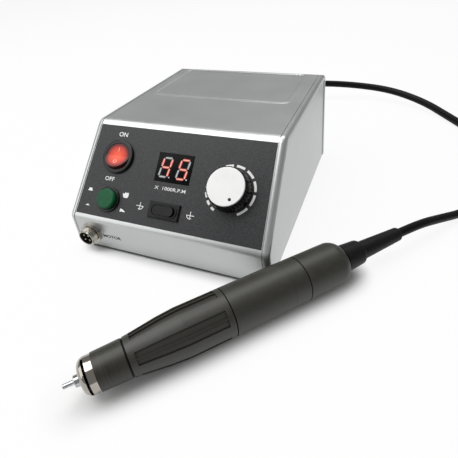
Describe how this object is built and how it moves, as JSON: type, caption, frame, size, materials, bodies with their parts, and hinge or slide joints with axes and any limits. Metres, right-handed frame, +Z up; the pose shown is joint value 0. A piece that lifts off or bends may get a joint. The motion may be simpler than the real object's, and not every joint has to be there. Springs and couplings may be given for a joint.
{
  "type": "dental lab micromotor",
  "caption": "Bench control box with sloping panel, rocker switch, push button, digit display and speed knob, with a slim rotary handpiece on a cord and a mains lead with plug.",
  "frame": {"origin": "on the bench, under the middle of the box and its handpiece taken together", "axes": "+X to the right as seen from the front, +Y from the controls to the rear panel, +Z up"},
  "size_m": [0.3893, 0.4448, 0.074],
  "materials": {
    "cover_silver": "satin metallic silver paint",
    "panel_grey": "finely speckled charcoal",
    "steel": "brushed",
    "chrome": "polished",
    "nickel": "nickel plated",
    "black_rubber": "matte",
    "black_plastic": "fine matte",
    "gloss_black": "glossy",
    "rocker_red": "translucent orange-red",
    "button_green": "satin green",
    "display_black": "dark red tinted face",
    "digit_red": "lit segments",
    "digit_grey": "unlit segments",
    "knob_white": "bright satin",
    "board_green": "solder mask",
    "aluminium": "machined",
    "handpiece_grey": "dark anodised",
    "copper": "enamelled copper wire",
    "core_steel": "stacked laminations",
    "magnet": "ground",
    "capacitor_blue": "sleeved",
    "white_plastic": "fine matte"
  },
  "bodies": {
    "control_box": {"top_cover": "cover_silver", "base_plate": "steel", "rubber_feet": "black_rubber", "case_screws": "steel", "rear_panel": "cover_silver", "mains_strain_relief": "black_rubber", "fuse_holder": "gloss_black", "foot_pedal_jack": "nickel", "front_overlay": "panel_grey", "power_switch_housing": "gloss_black", "mode_button_bezel": "gloss_black", "direction_switch_frame": "gloss_black", "display_module": "display_black", "display_segments_lit": "digit_red", "display_segments_dark": "digit_grey", "speed_pot_body": "steel", "speed_pot_nut": "nickel", "front_board": "board_green", "board_standoffs": "nickel", "main_board": "board_green", "transformer_core": "core_steel", "transformer_winding": "copper", "heat_sink": "aluminium", "filter_capacitors": "capacitor_blue", "motor_socket_shell": "nickel", "motor_socket_insulator": "black_plastic", "motor_socket_pins": "nickel", "mains_cord": "black_rubber", "mains_cord_coil": "black_rubber", "mains_plug_body": "black_rubber", "mains_plug_blades": "nickel"},
    "power_rocker": {"power_rocker": "rocker_red"},
    "mode_button": {"mode_button_cap": "button_green"},
    "direction_paddle": {"direction_paddle": "black_plastic"},
    "speed_control": {"speed_pot_shaft": "steel", "speed_knob_skirt": "gloss_black", "speed_knob_cap": "knob_white"},
    "handpiece": {"nose_cap": "chrome", "front_sleeve": "handpiece_grey", "motor_sleeve": "handpiece_grey", "rear_sleeve": "handpiece_grey", "rear_collar": "black_rubber", "cord_boot": "black_rubber", "inner_housing": "aluminium", "bearing_outer_rings": "steel", "stator": "core_steel", "stator_windings": "copper", "chuck_spring": "steel", "handpiece_cord": "black_rubber", "handpiece_cord_coil": "black_rubber", "motor_plug_body": "nickel", "motor_plug_insert": "black_plastic"},
    "chuck_grip": {"grip_sleeve": "handpiece_grey"},
    "release_ring": {"chuck_release_ring": "aluminium"},
    "spindle": {"spindle": "steel", "collet": "steel", "rotor_magnet": "magnet", "bearing_inner_rings": "steel"},
    "blank_pin": {"collet_blank": "steel"},
    "plug_nut": {"motor_plug_nut": "nickel"}
  },
  "joints": [
    {"name": "power_rocker_tilt", "type": "hinge", "parent": "control_box", "child": "power_rocker", "pos_m": [-0.07709, -0.02864, 0.05686], "axis": [1, 0, 0], "range_deg": [0, 20]},
    {"name": "mode_button_press", "type": "slide", "parent": "control_box", "child": "mode_button", "axis": [0, -0.6999, 0.7142], "range_m": [-0.0015, 0], "stiffness_N_per_m": 400, "springref_m": 0.0005},
    {"name": "direction_paddle_tilt", "type": "hinge", "parent": "control_box", "child": "direction_paddle", "pos_m": [-0.03438, -0.05042, 0.03579], "axis": [0, 0.7142, 0.6999], "range_deg": [0, 14]},
    {"name": "speed_knob_turn", "type": "hinge", "parent": "control_box", "child": "speed_control", "pos_m": [0.00562, -0.03586, 0.04894], "axis": [0, -0.6999, 0.7142], "range_deg": [0, 300]},
    {"name": "handpiece_lift", "type": "slide", "parent": "control_box", "child": "handpiece", "axis": [0, 0, 1], "range_m": [0, 0.1]},
    {"name": "chuck_turn", "type": "hinge", "parent": "handpiece", "child": "chuck_grip", "pos_m": [-0.03073, -0.15714, 0.0134], "axis": [0.6582, 0.7529, 0], "range_deg": [0, 80]},
    {"name": "release_ring_slide", "type": "slide", "parent": "handpiece", "child": "release_ring", "axis": [0.6582, 0.7529, 0], "range_m": [0, 0.0016]},
    {"name": "spindle_spin", "type": "hinge", "parent": "handpiece", "child": "spindle", "pos_m": [-0.03073, -0.15714, 0.0134], "axis": [0.6582, 0.7529, 0], "continuous": true},
    {"name": "blank_pin_pull", "type": "slide", "parent": "spindle", "child": "blank_pin", "axis": [-0.6582, -0.7529, 0], "range_m": [0, 0.02]},
    {"name": "plug_nut_turn", "type": "hinge", "parent": "handpiece", "child": "plug_nut", "pos_m": [0.23418, 0.01226, 0.0075], "axis": [-0.6582, -0.7529, 0], "continuous": true}
  ],
  "couplings": [
    {"joint": "release_ring_slide", "follows": "chuck_turn", "m_per_rad": 0.0011458}
  ]
}
